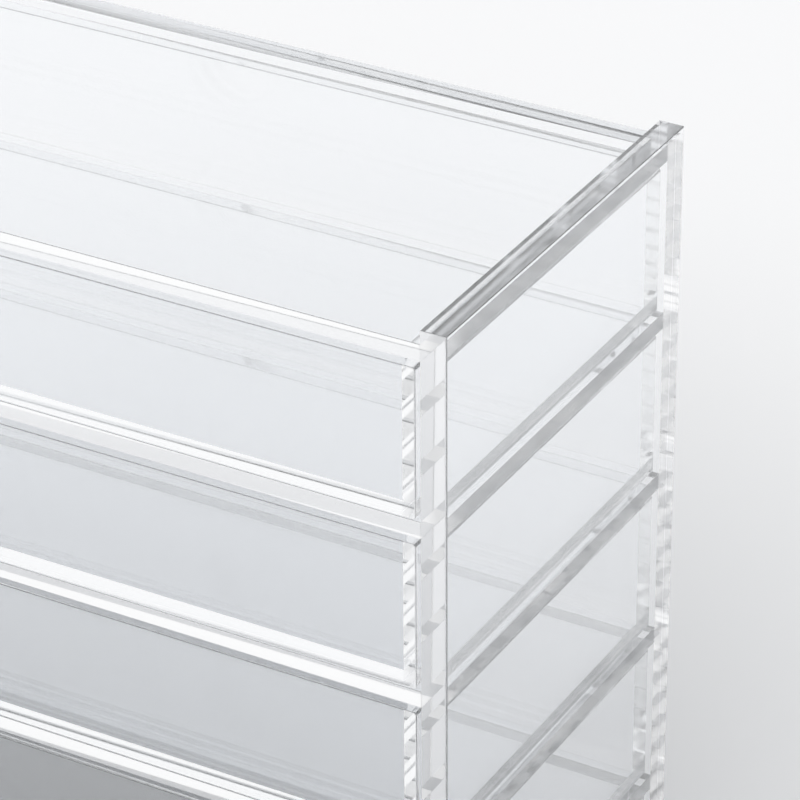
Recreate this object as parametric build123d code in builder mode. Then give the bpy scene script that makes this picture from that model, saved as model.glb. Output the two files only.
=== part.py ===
from build123d import *
import os

# A clear sheet case with slide-out drawers for small craft supplies.
# Origin: middle of the footprint, on the surface that the case stands on.
# +X is right as seen from the front, the drawers open towards -Y, +Z is up.

os.makedirs("parts", exist_ok=True)

# Case
case_width = 255.0  # over the outer faces of the side panels
case_depth = 80.0  # front edges to the outer face of the back panel
drawer_count = 5
bay_height = 28.0  # clear height that each drawer slides in
side_thickness = 4.5
top_thickness = 3.0
shelf_thickness = 3.0
base_thickness = 3.0
back_thickness = 3.0
side_lip = 2.4  # how far the side panels stand above the top panel
outer_round = 0.3  # polished upright outer edges of the side panels
lip_round = 0.15  # edges around the top and underside of a side panel
sheet_round = 0.12  # free edges of the sheets between the side panels

# Drawers
front_thickness = 2.5
wall_thickness = 3.0
floor_thickness = 2.0
rear_thickness = 3.0
finger_hole = 18.0  # diameter, in the middle of each front
corner_round = 0.6  # long outer edges of a drawer, seen as its front's corners
face_round = 0.2  # edges around the face of a front
rim_round = 0.2  # inner top edges of walls and rear

# Running clearances between a drawer and its bay
side_gap = 0.9
top_gap = 1.3
under_gap = 0.1
rear_gap = 0.5

# Places in the case
inner_width = case_width - 2 * side_thickness
front_y = -case_depth / 2
back_inner_y = case_depth / 2 - back_thickness
sheet_depth = back_inner_y - front_y
sheet_middle_y = (front_y + back_inner_y) / 2
pitch = bay_height + shelf_thickness
top_under_z = base_thickness + drawer_count * pitch - shelf_thickness
top_face_z = top_under_z + top_thickness
case_height = top_face_z + side_lip

# Sizes of a drawer
drawer_width = inner_width - 2 * side_gap
drawer_height = bay_height - under_gap - top_gap
drawer_inner_width = drawer_width - 2 * wall_thickness
front_back_y = front_y + front_thickness
drawer_end_y = back_inner_y - rear_gap
wall_length = drawer_end_y - front_back_y
wall_middle_y = (front_back_y + drawer_end_y) / 2
rear_height = drawer_height - floor_thickness


def limited(radius, thickness):
    # two roundings share a sheet's edge, so neither takes half of it
    return min(radius, 0.45 * thickness)


# Side panels
for side_name, outward in (("left", -1), ("right", 1)):
    with BuildPart() as side_panel:
        with BuildSketch(Plane.XY) as footprint:
            with Locations((outward * (inner_width + side_thickness) / 2, 0)):
                Rectangle(side_thickness, case_depth)
            outer_corners = footprint.vertices().group_by(Axis.X)[::outward][-1]
            fillet(outer_corners, limited(outer_round, side_thickness))
        extrude(amount=case_height)
        under_face, top_face = side_panel.faces().filter_by(Axis.Z).sort_by(Axis.Z)
        under_edges = under_face.edges().sort_by(Axis.X)[::outward][1:]
        fillet(top_face.edges() + under_edges, limited(lip_round, side_thickness))
    side_panel.part.label = f"{side_name}_side_panel"
    export_step(side_panel.part, f"parts/{side_panel.part.label}.step")

# Level sheets bonded between the side panels, front edges flush with theirs
level_sheets = [("base_panel", 0.0, base_thickness), ("top_panel", top_under_z, top_thickness)]
for number in range(1, drawer_count):
    shelf_z = base_thickness + (drawer_count - number) * pitch - shelf_thickness
    level_sheets.append((f"shelf_{number}", shelf_z, shelf_thickness))

for sheet_name, sheet_z, thickness in level_sheets:
    with BuildPart() as sheet:
        with BuildSketch(Plane.XY.offset(sheet_z)):
            with Locations((0, sheet_middle_y)):
                Rectangle(inner_width, sheet_depth)
        extrude(amount=thickness)
        front_edges = sheet.faces().sort_by(Axis.Y)[0].edges().filter_by(Axis.X)
        fillet(front_edges, limited(sheet_round, thickness))
    sheet.part.label = sheet_name
    export_step(sheet.part, f"parts/{sheet.part.label}.step")

# Back panel, between the side panels and over the rear edges of the level sheets
with BuildPart() as back_panel:
    with BuildSketch(Plane.XY):
        with Locations((0, back_inner_y + back_thickness / 2)):
            Rectangle(inner_width, back_thickness)
    extrude(amount=top_face_z)
    rear_edges = back_panel.faces().sort_by(Axis.Y)[-1].edges().filter_by(Axis.X)
    fillet(rear_edges, limited(sheet_round, back_thickness))
back_panel.part.label = "back_panel"
export_step(back_panel.part, "parts/back_panel.step")

# Drawers, numbered from the top
for number in range(1, drawer_count + 1):
    bottom_z = base_thickness + (drawer_count - number) * pitch + under_gap
    middle_z = bottom_z + drawer_height / 2

    with BuildPart() as drawer_front:
        with BuildSketch(Plane.XZ.offset(-front_back_y)):
            with Locations((0, middle_z)):
                RectangleRounded(drawer_width, drawer_height, corner_round)
                Circle(finger_hole / 2, mode=Mode.SUBTRACT)
        extrude(amount=front_thickness)
        face_edges = drawer_front.faces().sort_by(Axis.Y)[0].edges()
        fillet(face_edges, limited(face_round, front_thickness))
    drawer_front.part.label = f"drawer_{number}_front"
    export_step(drawer_front.part, f"parts/{drawer_front.part.label}.step")

    for side_name, outward in (("left", -1), ("right", 1)):
        with BuildPart() as wall:
            with BuildSketch(Plane.YZ.offset(outward * drawer_inner_width / 2)):
                with Locations((wall_middle_y, middle_z)):
                    Rectangle(wall_length, drawer_height)
            extrude(amount=outward * wall_thickness)
            inner_face, outer_face = wall.faces().filter_by(Axis.X).sort_by(Axis.X)[::outward]
            rim_edge = inner_face.edges().filter_by(Axis.Y).sort_by(Axis.Z)[-1]
            fillet(outer_face.edges().filter_by(Axis.Y), limited(corner_round, wall_thickness))
            fillet(rim_edge, limited(rim_round, wall_thickness))
        wall.part.label = f"drawer_{number}_{side_name}_wall"
        export_step(wall.part, f"parts/{wall.part.label}.step")

    with BuildPart() as drawer_floor:
        with BuildSketch(Plane.XY.offset(bottom_z)):
            with Locations((0, wall_middle_y)):
                Rectangle(drawer_inner_width, wall_length)
        extrude(amount=floor_thickness)
    drawer_floor.part.label = f"drawer_{number}_floor"
    export_step(drawer_floor.part, f"parts/{drawer_floor.part.label}.step")

    with BuildPart() as drawer_rear:
        with BuildSketch(Plane.XY.offset(bottom_z + floor_thickness)):
            with Locations((0, drawer_end_y - rear_thickness / 2)):
                Rectangle(drawer_inner_width, rear_thickness)
        extrude(amount=rear_height)
        rim_edges = drawer_rear.faces().sort_by(Axis.Z)[-1].edges().filter_by(Axis.X)
        fillet(rim_edges, limited(rim_round, rear_thickness))
    drawer_rear.part.label = f"drawer_{number}_back"
    export_step(drawer_rear.part, f"parts/{drawer_rear.part.label}.step")
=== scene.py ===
import math

import bpy
from mathutils import Matrix, Vector


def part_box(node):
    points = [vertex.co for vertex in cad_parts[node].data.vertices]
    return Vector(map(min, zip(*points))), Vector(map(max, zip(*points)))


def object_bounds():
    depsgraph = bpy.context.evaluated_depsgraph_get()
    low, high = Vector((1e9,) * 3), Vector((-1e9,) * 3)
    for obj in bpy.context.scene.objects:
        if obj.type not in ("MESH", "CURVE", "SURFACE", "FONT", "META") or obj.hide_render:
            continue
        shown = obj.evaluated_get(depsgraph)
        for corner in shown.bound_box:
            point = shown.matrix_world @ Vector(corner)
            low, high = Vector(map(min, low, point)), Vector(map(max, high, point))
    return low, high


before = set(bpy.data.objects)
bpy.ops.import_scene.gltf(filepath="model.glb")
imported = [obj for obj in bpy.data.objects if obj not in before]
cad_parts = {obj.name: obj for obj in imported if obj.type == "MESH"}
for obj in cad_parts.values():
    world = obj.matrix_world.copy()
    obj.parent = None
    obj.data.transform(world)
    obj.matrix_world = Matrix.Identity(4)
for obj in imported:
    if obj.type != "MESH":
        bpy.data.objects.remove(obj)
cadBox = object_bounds()
mm = 0.001


# sizes read from the frame
def low(node):
    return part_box(node)[0]


def high(node):
    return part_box(node)[1]


sheetPitch = low("shelf_3").z - low("shelf_4").z      # one drawer bay and one shelf
innerX = high("top_panel").x                          # bond plane of the side panels
backY = high("top_panel").y                           # bond plane of the back panel
caseFront = low("top_panel").y
caseBack = high("back_panel").y
sheetThick = high("shelf_4").z - low("shelf_4").z
drawerBaseZ = low("drawer_5_floor").z                 # underside of the lowest drawer
drawerTopZ = high("drawer_5_right_wall").z
drawerInnerX = high("drawer_5_floor").x               # bond plane of the drawer walls
drawerOuterX = high("drawer_5_right_wall").x
frontBondY = high("drawer_5_front").y                 # back face of a drawer front
drawerEndY = high("drawer_5_floor").y
rearBondY = low("drawer_5_back").y
floorTopZ = high("drawer_5_floor").z


# shader groups
noiseMiddle = 0.5             # a noise value lies above this as often as below


def newGroup(name, inputs, outputs):
    group = bpy.data.node_groups.new(name, "ShaderNodeTree")
    for socketName, socketType in inputs:
        group.interface.new_socket(socketName, in_out="INPUT", socket_type=socketType)
    for socketName, socketType in outputs:
        group.interface.new_socket(socketName, in_out="OUTPUT", socket_type=socketType)
    return group, group.nodes.new("NodeGroupInput"), group.nodes.new("NodeGroupOutput")


def connect(tree, value, socket):
    if isinstance(value, bpy.types.NodeSocket):
        tree.links.new(value, socket)
    else:
        socket.default_value = value


def mathNode(tree, operation, *values):
    node = tree.nodes.new("ShaderNodeMath")
    node.operation = operation
    for index, value in enumerate(values):
        connect(tree, value, node.inputs[index])
    return node.outputs[0]


def vectorNode(tree, operation, *values):
    node = tree.nodes.new("ShaderNodeVectorMath")
    node.operation = operation
    for index, value in enumerate(values):
        connect(tree, value, node.inputs[index])
    return node.outputs["Value"] if operation in ("LENGTH", "DOT_PRODUCT") else node.outputs["Vector"]


def noiseNode(tree, place, scale, detail):
    node = tree.nodes.new("ShaderNodeTexNoise")
    connect(tree, place, node.inputs["Vector"])
    connect(tree, scale, node.inputs["Scale"])
    connect(tree, detail, node.inputs["Detail"])
    return node.outputs[0]


def mixColours(tree, factor, first, second):
    node = tree.nodes.new("ShaderNodeMix")
    node.data_type = "RGBA"
    colourInputs = [socket for socket in node.inputs if socket.type == "RGBA"]
    connect(tree, factor, node.inputs["Factor"])
    connect(tree, first, colourInputs[0])
    connect(tree, second, colourInputs[1])
    return next(socket for socket in node.outputs if socket.type == "RGBA")


def largest(tree, vector):
    parts = tree.nodes.new("ShaderNodeSeparateXYZ")
    tree.links.new(vector, parts.inputs[0])
    return mathNode(tree, "MAXIMUM", mathNode(tree, "MAXIMUM", parts.outputs[0], parts.outputs[1]),
                    parts.outputs[2])


def makeBondPatch():
    # 1 inside a thin box with rounded corners, where two sheets are bonded face to face
    group, given, result = newGroup(
        "bondPatch",
        [("Point", "NodeSocketVector"), ("Centre", "NodeSocketVector"), ("Half Size", "NodeSocketVector"),
         ("Rounding", "NodeSocketVector"), ("Radius", "NodeSocketFloat")],
        [("Mask", "NodeSocketFloat")])
    away = vectorNode(group, "ABSOLUTE",
                      vectorNode(group, "SUBTRACT", given.outputs["Point"], given.outputs["Centre"]))
    outside = vectorNode(group, "SUBTRACT", away, given.outputs["Half Size"])
    inBox = mathNode(group, "LESS_THAN", largest(group, outside), 0.0)
    corner = vectorNode(group, "MAXIMUM", vectorNode(group, "ADD", outside, given.outputs["Rounding"]),
                        (0.0, 0.0, 0.0))
    inRound = mathNode(group, "LESS_THAN", vectorNode(group, "LENGTH", corner), given.outputs["Radius"])
    group.links.new(mathNode(group, "MULTIPLY", inBox, inRound), result.inputs["Mask"])
    return group


def makeBayCoordinates():
    # folds height by the drawer pitch and left onto right, so that one patch serves every bay
    group, given, result = newGroup(
        "bayCoordinates", [("Pitch", "NodeSocketFloat"), ("Start", "NodeSocketFloat")],
        [("Point", "NodeSocketVector")])
    place = group.nodes.new("ShaderNodeTexCoord")
    parts = group.nodes.new("ShaderNodeSeparateXYZ")
    group.links.new(place.outputs["Object"], parts.inputs[0])
    rise = mathNode(group, "SUBTRACT", parts.outputs[2], given.outputs["Start"])
    joined = group.nodes.new("ShaderNodeCombineXYZ")
    group.links.new(mathNode(group, "ABSOLUTE", parts.outputs[0]), joined.inputs[0])
    group.links.new(parts.outputs[1], joined.inputs[1])
    group.links.new(mathNode(group, "WRAP", rise, given.outputs["Pitch"], 0.0), joined.inputs[2])
    group.links.new(joined.outputs[0], result.inputs["Point"])
    return group


cementAndShadeRun = {
    "least": 0.35,            # share of the joint that shows right behind the front edges
    "softness": 0.3,
    "grainDetail": 3.0,
}


def makeCementAndShadeLine():
    # how much of the grey on a sawn and cemented end shows, partly cement and partly painted shade of light
    # trapped in the bonded sheets: less near the front, uneven along the joint
    group, given, result = newGroup(
        "cementAndShadeLine",
        [("Joint", "NodeSocketFloat"), ("Strength", "NodeSocketFloat"), ("Unevenness", "NodeSocketFloat"),
         ("Grain", "NodeSocketFloat"), ("Front", "NodeSocketFloat"), ("Clear Run", "NodeSocketFloat")],
        [("Shows", "NodeSocketFloat")])
    place = group.nodes.new("ShaderNodeTexCoord")
    parts = group.nodes.new("ShaderNodeSeparateXYZ")
    group.links.new(place.outputs["Object"], parts.inputs[0])
    depth = mathNode(group, "DIVIDE", mathNode(group, "SUBTRACT", parts.outputs[1], given.outputs["Front"]),
                     given.outputs["Clear Run"])
    started = mathNode(group, "SMOOTH_MIN", mathNode(group, "MAXIMUM", depth, cementAndShadeRun["least"]), 1.0,
                       cementAndShadeRun["softness"])
    grain = noiseNode(group, place.outputs["Object"], given.outputs["Grain"], cementAndShadeRun["grainDetail"])
    uneven = mathNode(group, "MULTIPLY", mathNode(group, "SUBTRACT", grain, noiseMiddle),
                      given.outputs["Unevenness"])
    amount = mathNode(group, "MULTIPLY", mathNode(group, "ADD", given.outputs["Strength"], uneven), started)
    group.links.new(mathNode(group, "MULTIPLY", amount, given.outputs["Joint"]), result.inputs["Shows"])
    return group


sheetDetail = {
    "edgeFacing": 0.9,        # a face that looks less than this along the thickness is an edge
    "wearScale": 180.0,
    "wearDetail": 2.0,
    "rippleDetail": 0.0,
    "waveDetail": 1.0,
}


def makeSheetSurface():
    # the large faces ripple a little, the polished edges are hazier and carry fine tool waves
    group, given, result = newGroup(
        "sheetSurface",
        [("Thickness Axis", "NodeSocketVector"), ("Edge Haze", "NodeSocketFloat"),
         ("Top Haze", "NodeSocketFloat"), ("Face Haze", "NodeSocketFloat"), ("Ripple", "NodeSocketFloat"),
         ("Ripple Scale", "NodeSocketFloat"), ("Edge Wave", "NodeSocketFloat"),
         ("Wave Scale", "NodeSocketFloat")],
        [("Roughness", "NodeSocketFloat"), ("Height", "NodeSocketFloat"),
         ("Upright Edge", "NodeSocketFloat")])
    place = group.nodes.new("ShaderNodeTexCoord")
    facing = mathNode(group, "ABSOLUTE", vectorNode(group, "DOT_PRODUCT", place.outputs["Normal"],
                                                    given.outputs["Thickness Axis"]))
    edge = mathNode(group, "LESS_THAN", facing, sheetDetail["edgeFacing"])
    worn = noiseNode(group, place.outputs["Object"], sheetDetail["wearScale"], sheetDetail["wearDetail"])
    wear = mathNode(group, "ADD", worn, 1.0 - noiseMiddle)
    upwards = mathNode(group, "MAXIMUM", 0.0, vectorNode(group, "DOT_PRODUCT", place.outputs["Normal"],
                                                         (0.0, 0.0, 1.0)))
    edgeHaze = mathNode(group, "ADD", given.outputs["Edge Haze"],
                        mathNode(group, "MULTIPLY", upwards, given.outputs["Top Haze"]))
    haze = mathNode(group, "ADD", mathNode(group, "MULTIPLY", edge, edgeHaze), given.outputs["Face Haze"])
    group.links.new(mathNode(group, "MULTIPLY", haze, wear), result.inputs["Roughness"])
    ripple = mathNode(group, "MULTIPLY", given.outputs["Ripple"],
                      noiseNode(group, place.outputs["Object"], given.outputs["Ripple Scale"],
                                sheetDetail["rippleDetail"]))
    wave = mathNode(group, "MULTIPLY", given.outputs["Edge Wave"],
                    noiseNode(group, place.outputs["Object"], given.outputs["Wave Scale"],
                              sheetDetail["waveDetail"]))
    group.links.new(mathNode(group, "ADD", ripple, mathNode(group, "MULTIPLY", edge, wave)),
                    result.inputs["Height"])
    frontwards = mathNode(group, "ABSOLUTE", vectorNode(group, "DOT_PRODUCT", place.outputs["Normal"],
                                                        (0.0, 1.0, 0.0)))
    group.links.new(mathNode(group, "MULTIPLY", edge, frontwards), result.inputs["Upright Edge"])
    return group


print("shader groups")
bondPatch = makeBondPatch()
bayCoordinates = makeBayCoordinates()
cementAndShadeLine = makeCementAndShadeLine()
sheetSurface = makeSheetSurface()

bond = {
    "skin": 0.02 * mm,        # how near the bond plane a surface counts as bonded
    "foldMargin": 0.5 * mm,   # the fold in height lies this far below a sheet
    "reach": 1.0 * mm,        # patches run past edges that another bond covers
    "overlap": 0.001 * mm,    # keeps neighbouring patches from leaving a line between them
    "sheetRounding": 0.12 * mm,   # of the level sheets' free edges
    "anyHeight": 1.0,         # a patch this tall passes through every bay
    "flat": 1e-9,             # a patch thinner than this is a plane
}


# each patch is (low corner, high corner, rounding radius) in bay coordinates
def levelSheetEnds():
    base = bond["foldMargin"]
    return [((innerX, caseFront, base), (innerX, backY + bond["reach"], base + sheetThick),
             bond["sheetRounding"])]


def backPanelBonds():
    base = bond["foldMargin"]
    tall = bond["anyHeight"]
    return [((innerX, backY - bond["overlap"], -tall), (innerX, caseBack, tall), 0.0),
            ((0.0, backY, base), (innerX, backY, base + sheetThick), 0.0)]


def drawerFloorEnds():
    base = bond["foldMargin"]
    thick = floorTopZ - drawerBaseZ
    return [((drawerInnerX, frontBondY, base), (drawerInnerX, drawerEndY, base + thick), 0.0)]


def drawerBonds():
    base = bond["foldMargin"]
    tall = drawerTopZ - drawerBaseZ
    thick = floorTopZ - drawerBaseZ
    return [
        ((drawerInnerX, frontBondY, base), (drawerOuterX, frontBondY, base + tall), 0.0),
        ((0.0, frontBondY, base), (drawerInnerX, frontBondY, base + thick), 0.0),
        ((drawerInnerX, rearBondY, base + thick), (drawerInnerX, drawerEndY, base + tall), 0.0),
        ((0.0, rearBondY, base + thick), (drawerInnerX, drawerEndY, base + thick), 0.0),
    ]


def addPatches(tree, patches, start):
    bay = tree.nodes.new("ShaderNodeGroup")
    bay.node_tree = bayCoordinates
    bay.inputs["Pitch"].default_value = sheetPitch
    bay.inputs["Start"].default_value = start - bond["foldMargin"]
    covered = None
    for lowCorner, highCorner, radius in patches:
        patch = tree.nodes.new("ShaderNodeGroup")
        patch.node_tree = bondPatch
        centre = (Vector(lowCorner) + Vector(highCorner)) / 2
        half = (Vector(highCorner) - Vector(lowCorner)) / 2
        thin = [axis for axis in range(3) if half[axis] < bond["flat"]]
        patch.inputs["Centre"].default_value = centre
        patch.inputs["Half Size"].default_value = half + Vector((bond["skin"],) * 3)
        patch.inputs["Rounding"].default_value = [0.0 if axis in thin else radius for axis in range(3)]
        patch.inputs["Radius"].default_value = radius + bond["overlap"]
        tree.links.new(bay.outputs[0], patch.inputs["Point"])
        mask = patch.outputs[0]
        covered = mask if covered is None else mathNode(tree, "MAXIMUM", covered, mask)
    return covered


acrylic = {
    "colour": (0.988, 0.992, 0.997, 1.0),
    "edgeColour": (0.95, 0.955, 0.965, 1.0),     # front and rear edges of the thick side panels
    # dark grey on the cemented ends: partly cement, partly painted shade of light trapped in the bonded
    # sheets
    "cementAndShadeColour": (0.05, 0.055, 0.06, 1.0),
    "ior": 1.49,
    "clearness": 1.0,
    "edgeHaze": 0.012,
    "topHaze": 0.1,           # the side panels' top edges are scraped, not polished
    "sideHaze": 0.004,        # haze of the large faces, which softens what lies behind a sheet
    "levelHaze": 0.010,
    "frontHaze": 0.012,
    "wallHaze": 0.004,
    "ripple": 0.12,
    "rippleScale": 14.0,
    "edgeWave": 0.04,
    "waveScale": 90.0,
    "bumpDistance": 0.06 * mm,
    "cementAndShadeStrength": 0.58,   # of a joint's grey, partly cement and partly painted shade
    "steep": 0.35,            # the joints show fully to light that meets them steeply
    "grazing": 0.65,          # and less to light that runs along the side panel
    "grazingShare": 0.62,
    "cementAndShadeUnevenness": 0.3,
    "cementAndShadeGrain": 130.0,
    "clearRun": 9.0 * mm,     # the joints are clearer this far behind the front edges
}


def addCementAndShade(tree, joint):
    jointGreyNode = tree.nodes.new("ShaderNodeGroup")
    jointGreyNode.node_tree = cementAndShadeLine
    jointGreyNode.inputs["Strength"].default_value = acrylic["cementAndShadeStrength"]
    jointGreyNode.inputs["Unevenness"].default_value = acrylic["cementAndShadeUnevenness"]
    jointGreyNode.inputs["Grain"].default_value = acrylic["cementAndShadeGrain"]
    jointGreyNode.inputs["Front"].default_value = caseFront
    jointGreyNode.inputs["Clear Run"].default_value = acrylic["clearRun"]
    tree.links.new(joint, jointGreyNode.inputs["Joint"])
    slant = tree.nodes.new("ShaderNodeLayerWeight")
    thinning = tree.nodes.new("ShaderNodeMapRange")
    tree.links.new(slant.outputs["Facing"], thinning.inputs["Value"])
    thinning.inputs["From Min"].default_value = acrylic["steep"]
    thinning.inputs["From Max"].default_value = acrylic["grazing"]
    thinning.inputs["To Min"].default_value = 1.0
    thinning.inputs["To Max"].default_value = acrylic["grazingShare"]
    return mathNode(tree, "MULTIPLY", jointGreyNode.outputs["Shows"], thinning.outputs["Result"])


def makeAcrylic(name, axis, faceHaze, clearBonds, start, cementedAndShadedEnds=(), edgeColour=None, topHaze=0.0):
    # clear sheet: bonded faces vanish, cemented ends stay as faint grey joints, partly cement and partly
    # painted shade
    material = bpy.data.materials.new(name)
    material.use_nodes = True
    tree = material.node_tree
    shader = tree.nodes["Principled BSDF"]
    shader.inputs["IOR"].default_value = acrylic["ior"]
    shader.inputs["Transmission Weight"].default_value = acrylic["clearness"]
    shader.inputs["Base Color"].default_value = acrylic["colour"]
    surface = tree.nodes.new("ShaderNodeGroup")
    surface.node_tree = sheetSurface
    surface.inputs["Thickness Axis"].default_value = axis
    surface.inputs["Edge Haze"].default_value = acrylic["edgeHaze"]
    surface.inputs["Top Haze"].default_value = topHaze
    surface.inputs["Face Haze"].default_value = faceHaze
    surface.inputs["Ripple"].default_value = acrylic["ripple"]
    surface.inputs["Ripple Scale"].default_value = acrylic["rippleScale"]
    surface.inputs["Edge Wave"].default_value = acrylic["edgeWave"]
    surface.inputs["Wave Scale"].default_value = acrylic["waveScale"]
    tree.links.new(surface.outputs["Roughness"], shader.inputs["Roughness"])
    bump = tree.nodes.new("ShaderNodeBump")
    bump.inputs["Distance"].default_value = acrylic["bumpDistance"]
    tree.links.new(surface.outputs["Height"], bump.inputs["Height"])
    tree.links.new(bump.outputs["Normal"], shader.inputs["Normal"])
    if edgeColour:
        tree.links.new(mixColours(tree, surface.outputs["Upright Edge"], acrylic["colour"], edgeColour),
                       shader.inputs["Base Color"])
    bonded = addPatches(tree, clearBonds, start)
    if cementedAndShadedEnds:
        joint = addPatches(tree, cementedAndShadedEnds, start)
        clear = mathNode(tree, "SUBTRACT", 1.0, mathNode(tree, "MAXIMUM", bonded, joint))
        shows = mathNode(tree, "ADD", clear, addCementAndShade(tree, joint))
        # painted shade: the cemented ends are tinted dark grey beyond what their cement shows
        tree.links.new(mixColours(tree, joint, acrylic["colour"], acrylic["cementAndShadeColour"]),
                       shader.inputs["Base Color"])
    else:
        shows = mathNode(tree, "SUBTRACT", 1.0, bonded)
    tree.links.new(shows, shader.inputs["Alpha"])
    return material


def dressCase():
    acrossX, acrossY, acrossZ = (1, 0, 0), (0, 1, 0), (0, 0, 1)
    everyBond = levelSheetEnds() + backPanelBonds()
    drawerBond = drawerBonds() + drawerFloorEnds()
    sideSheet = makeAcrylic("sidePanelAcrylic", acrossX, acrylic["sideHaze"], everyBond, 0.0,
                            edgeColour=acrylic["edgeColour"], topHaze=acrylic["topHaze"])
    levelSheet = makeAcrylic("levelSheetAcrylic", acrossZ, acrylic["levelHaze"], backPanelBonds(), 0.0,
                             levelSheetEnds())
    backSheet = makeAcrylic("backPanelAcrylic", acrossY, acrylic["frontHaze"], everyBond, 0.0)
    upright = makeAcrylic("drawerWallAcrylic", acrossX, acrylic["wallHaze"], drawerBond, drawerBaseZ)
    face = makeAcrylic("drawerFrontAcrylic", acrossY, acrylic["frontHaze"], drawerBond, drawerBaseZ)
    tray = makeAcrylic("drawerFloorAcrylic", acrossZ, acrylic["levelHaze"], drawerBonds(), drawerBaseZ,
                       drawerFloorEnds())
    byEnding = {"side_panel": sideSheet, "top_panel": levelSheet, "base_panel": levelSheet,
                "back_panel": backSheet, "wall": upright, "front": face, "floor": tray}
    for nodeName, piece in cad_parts.items():
        finish = face if nodeName.startswith("drawer") else levelSheet
        for ending, material in byEnding.items():
            if nodeName.endswith(ending):
                finish = material
        piece.data.materials.clear()
        piece.data.materials.append(finish)


print("acrylic")
dressCase()

# floor, light and camera
studio = {
    "floorSize": 4.0,
    "floorGap": 0.15 * mm,    # the case stands on the floor with air between
    "farColour": (0.965, 0.97, 0.98, 1.0),
    # painted shade: the paper's colour near the case, a painted shadow of the case
    "paintedShadeColour": (0.73, 0.74, 0.755, 1.0),
    "paperRoughness": 0.9,
    "nearRadius": 0.06,       # the painted shade of the case on the paper is darkest this near the middle of the case
    "farRadius": 0.33,        # and the painted shade fades out up to here, the paper as pale as farColour from here on
    "hazeColour": (0.82, 0.828, 0.84, 1.0),   # of the sky at the horizon, and of the paper far out
    "hazeStart": 0.55,        # the paper takes it on between these radii
    "hazeEnd": 1.7,
    "hazeRise": 0.40,         # sine of the height at which the sky is white again
    "skyColour": (1.0, 1.0, 1.0, 1.0),
    "skyStrength": 1.0,
}


def blend(tree, value, start, end, startColour, endColour):
    reach = tree.nodes.new("ShaderNodeMapRange")
    reach.interpolation_type = "SMOOTHSTEP"
    tree.links.new(value, reach.inputs["Value"])
    reach.inputs["From Min"].default_value = start
    reach.inputs["From Max"].default_value = end
    return mixColours(tree, reach.outputs["Result"], startColour, endColour)


def unshadedUnderPanels(tree, place):
    # 1 on the paper right under the side panels, whose top edges show it from above: the painted shade is
    # left out there
    outerX = cadBox[1][0]
    parts = tree.nodes.new("ShaderNodeSeparateXYZ")
    tree.links.new(place, parts.inputs[0])
    across = mathNode(tree, "ABSOLUTE", parts.outputs[0])
    along = mathNode(tree, "ABSOLUTE", parts.outputs[1])
    inThickness = mathNode(tree, "COMPARE", across, (innerX + outerX) / 2, (outerX - innerX) / 2)
    return mathNode(tree, "MULTIPLY", inThickness, mathNode(tree, "LESS_THAN", along, caseBack))


def makePaper():
    material = bpy.data.materials.new("studioPaper")
    material.use_nodes = True
    tree = material.node_tree
    shader = tree.nodes["Principled BSDF"]
    place = tree.nodes.new("ShaderNodeTexCoord")
    away = vectorNode(tree, "LENGTH", place.outputs["Object"])
    # painted shadow of the case on the paper, left out right under the side panels and fading to the
    # paper's own farColour
    near = mixColours(tree, unshadedUnderPanels(tree, place.outputs["Object"]), studio["paintedShadeColour"],
                      studio["farColour"])
    pale = blend(tree, away, studio["nearRadius"], studio["farRadius"], near, studio["farColour"])
    hazed = blend(tree, away, studio["hazeStart"], studio["hazeEnd"], pale, studio["hazeColour"])
    tree.links.new(hazed, shader.inputs["Base Color"])
    shader.inputs["Roughness"].default_value = studio["paperRoughness"]
    return material


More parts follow.
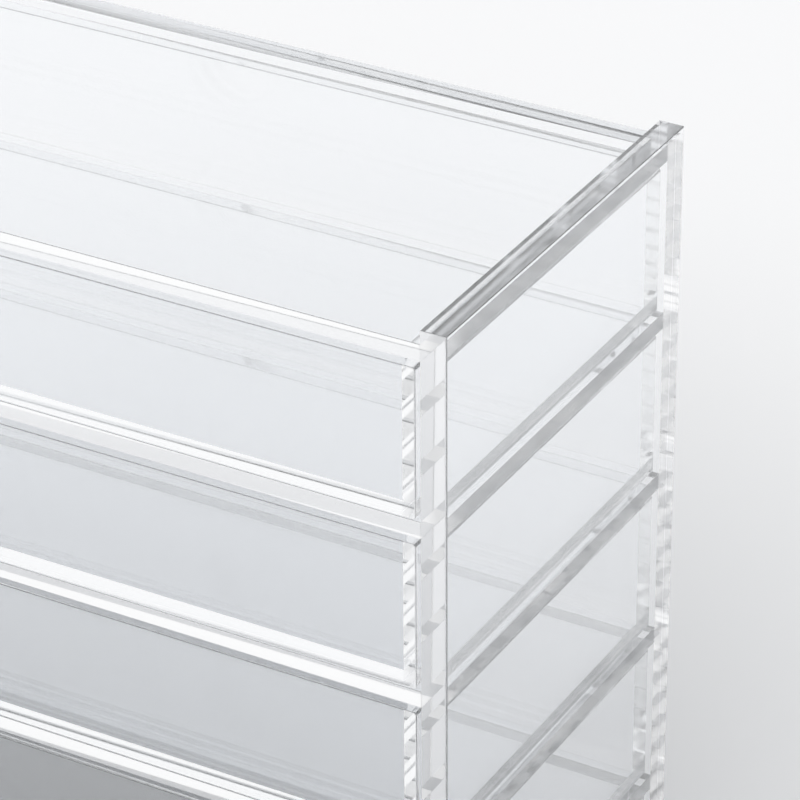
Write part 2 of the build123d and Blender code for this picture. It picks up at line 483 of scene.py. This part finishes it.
def makeStudio():
    bpy.ops.object.select_all(action="DESELECT")
    bpy.ops.mesh.primitive_plane_add(size=studio["floorSize"], location=(0, 0, 0))
    floor = bpy.context.object
    floor.name = "studioFloor"
    floor.data.transform(Matrix.Translation((0, 0, -studio["floorGap"])))
    floor.data.materials.append(makePaper())
    world = bpy.data.worlds.new("studioSky")
    bpy.context.scene.world = world
    world.use_nodes = True
    tree = world.node_tree
    background = tree.nodes["Background"]
    parts = tree.nodes.new("ShaderNodeSeparateXYZ")
    tree.links.new(tree.nodes.new("ShaderNodeTexCoord").outputs["Generated"], parts.inputs[0])
    rise = mathNode(tree, "ABSOLUTE", parts.outputs[2])
    sky = blend(tree, rise, 0.0, studio["hazeRise"], studio["hazeColour"], studio["skyColour"])
    tree.links.new(sky, background.inputs["Color"])
    background.inputs["Strength"].default_value = studio["skyStrength"]
    world.cycles.sampling_method = "NONE"    # so soft a sky needs no light samples of its own


view = {
    "azimuth": 29.53,         # degrees, seen from the front right
    "elevation": 30.05,
    "roll": -0.40,
    "lens": 190.67,           # in mm, like the sensor
    "sensor": 36.0,
    "nearClip": 0.01,
    "distance": 625.0 * mm,   # along the view axis to the case's near top corner
    "cornerRight": 6.85 * mm, # that corner lies right of and above the view axis
    "cornerUp": 9.20 * mm,
}


def makeCamera():
    azimuth, elevation, roll = (math.radians(view[key]) for key in ("azimuth", "elevation", "roll"))
    ahead = Vector((-math.sin(azimuth) * math.cos(elevation), math.cos(azimuth) * math.cos(elevation),
                    -math.sin(elevation)))
    level = ahead.cross(Vector((0, 0, 1))).normalized()
    upright = level.cross(ahead)
    right = math.cos(roll) * level + math.sin(roll) * upright
    up = math.cos(roll) * upright - math.sin(roll) * level
    corner = Vector((cadBox[1][0], cadBox[0][1], cadBox[1][2]))
    place = corner - view["cornerRight"] * right - view["cornerUp"] * up - view["distance"] * ahead
    data = bpy.data.cameras.new("photoCamera")
    data.sensor_width = view["sensor"]
    data.lens = view["lens"]
    data.clip_start = view["nearClip"]
    camera = bpy.data.objects.new("photoCamera", data)
    bpy.context.scene.collection.objects.link(camera)
    camera.matrix_world = Matrix((
        (right.x, up.x, -ahead.x, place.x),
        (right.y, up.y, -ahead.y, place.y),
        (right.z, up.z, -ahead.z, place.z),
        (0, 0, 0, 1)))
    bpy.context.scene.camera = camera


print("studio")
makeStudio()
makeCamera()

lightPaths = {
    "clear": 112,             # light runs far inside the stacked sheets
    "diffuse": 6,
}
scene = bpy.context.scene
scene.view_settings.view_transform = "Standard"
scene.cycles.max_bounces = lightPaths["clear"]
scene.cycles.transmission_bounces = lightPaths["clear"]
scene.cycles.glossy_bounces = lightPaths["clear"]
scene.cycles.transparent_max_bounces = lightPaths["clear"]
scene.cycles.diffuse_bounces = lightPaths["diffuse"]
